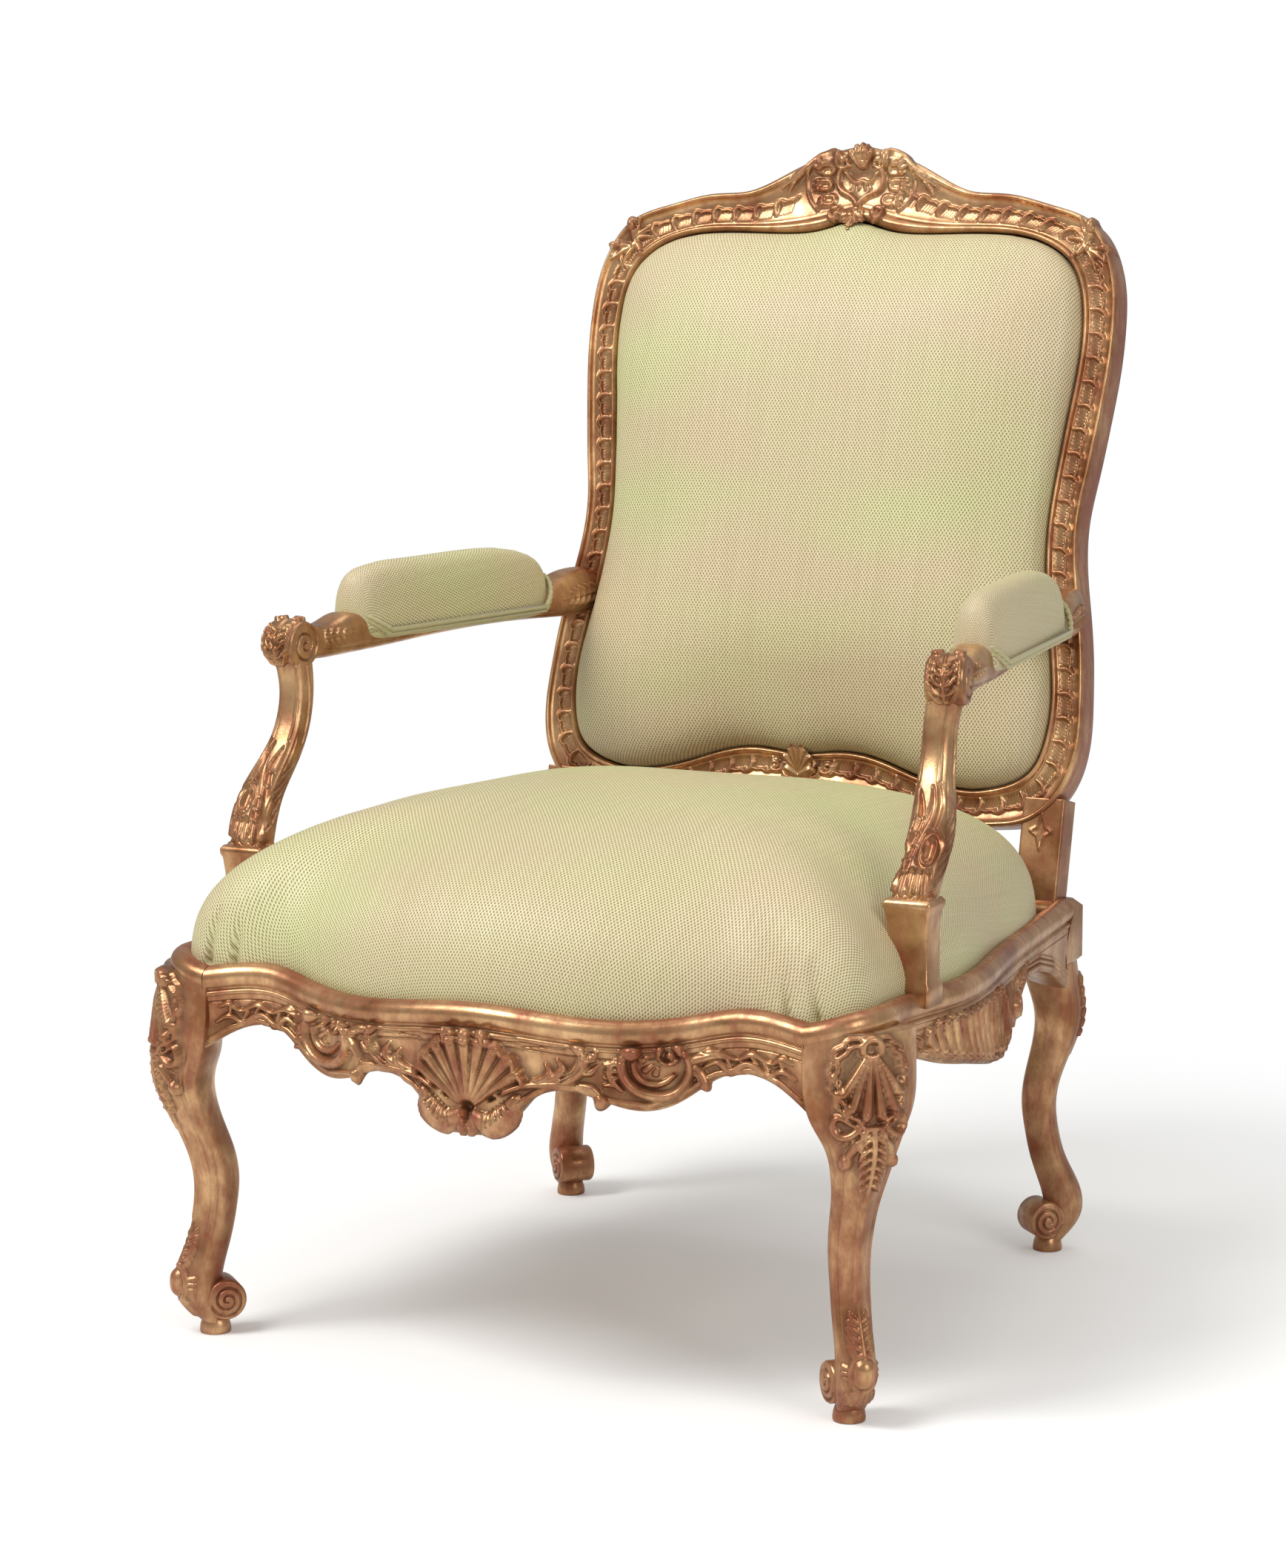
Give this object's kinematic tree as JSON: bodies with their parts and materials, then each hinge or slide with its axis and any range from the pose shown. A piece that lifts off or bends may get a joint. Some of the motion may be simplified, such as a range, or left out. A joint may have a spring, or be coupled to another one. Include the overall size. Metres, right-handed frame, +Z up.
{
  "type": "armchair",
  "caption": "Open armchair with a carved, gilded frame: raked cartouche back, out-swept padded arms on scrolled supports, serpentine seat rail with shell apron, cabriole legs",
  "frame": {"origin": "on the floor under the middle of the overall box", "axes": "+Z up, +Y to the back of the chair, +X to the right as seen from the front"},
  "size_m": [0.7038, 0.8602, 1.0509],
  "materials": {
    "gilded_wood": "water gilding over red bole, rubbed and toned",
    "bare_beech": "bare beech, darkened",
    "screw_steel": "plain steel",
    "jute_webbing": "woven jute",
    "hessian": "coarse jute cloth",
    "stuffing": "curled hair with wadding",
    "green_fabric": "silky dobby weave, pale green",
    "welt_cord": "double welt in the cover fabric"
  },
  "bodies": {
    "root": {"front_rail": "gilded_wood", "side_rail_left": "gilded_wood", "side_rail_right": "gilded_wood", "front_leg_left": "gilded_wood", "front_leg_right": "gilded_wood", "rear_leg_left": "gilded_wood", "rear_leg_right": "gilded_wood", "crest_rail": "gilded_wood", "lower_back_rail": "gilded_wood", "arm_left": "gilded_wood", "arm_right": "gilded_wood", "arm_support_left": "gilded_wood", "arm_support_right": "gilded_wood", "rear_rail": "bare_beech", "corner_braces": "bare_beech", "seat_joint_pegs": "bare_beech", "back_joint_pegs": "bare_beech", "arm_joint_pegs": "bare_beech", "brace_screws": "screw_steel", "seat_webbing_lengthwise": "jute_webbing", "seat_webbing_crosswise": "jute_webbing", "back_webbing_upright": "jute_webbing", "back_webbing_crosswise": "jute_webbing", "seat_hessian": "hessian", "back_hessian": "hessian", "seat_stuffing": "stuffing", "back_stuffing": "stuffing", "arm_pad_stuffing_left": "stuffing", "arm_pad_stuffing_right": "stuffing", "seat_cover": "green_fabric", "back_cover": "green_fabric", "outside_back_cloth": "green_fabric", "arm_pad_cover_left": "green_fabric", "arm_pad_cover_right": "green_fabric", "arm_welt_left": "welt_cord", "arm_welt_right": "welt_cord"}
  },
  "joints": []
}
